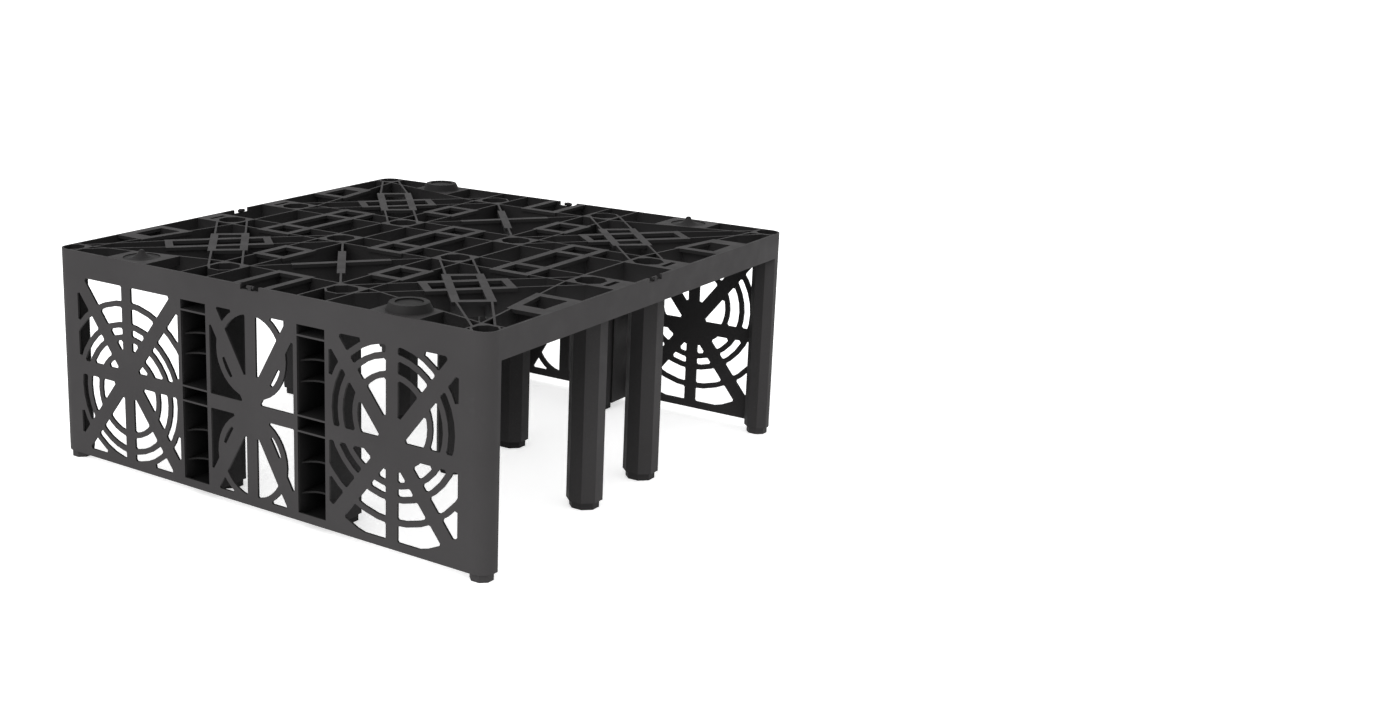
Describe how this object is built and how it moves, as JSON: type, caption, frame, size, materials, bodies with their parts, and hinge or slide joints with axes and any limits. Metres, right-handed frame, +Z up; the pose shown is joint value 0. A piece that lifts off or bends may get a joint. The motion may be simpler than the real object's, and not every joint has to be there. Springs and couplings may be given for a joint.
{
  "type": "soakaway crate",
  "caption": "Square plastic soakaway crate: ribbed deck on hollow spigot-ended columns, grille walls on two sides and open ends, for stacking underground.",
  "frame": {"origin": "middle of the footprint, on the level of the spigot ends", "axes": "+Z up, the grille walls face -Y and +Y, the open sides face -X and +X"},
  "size_m": [0.8, 0.8, 0.3405],
  "materials": {
    "crate": "matte moulded dark grey"
  },
  "bodies": {
    "root": {"crate": "crate"}
  },
  "joints": []
}
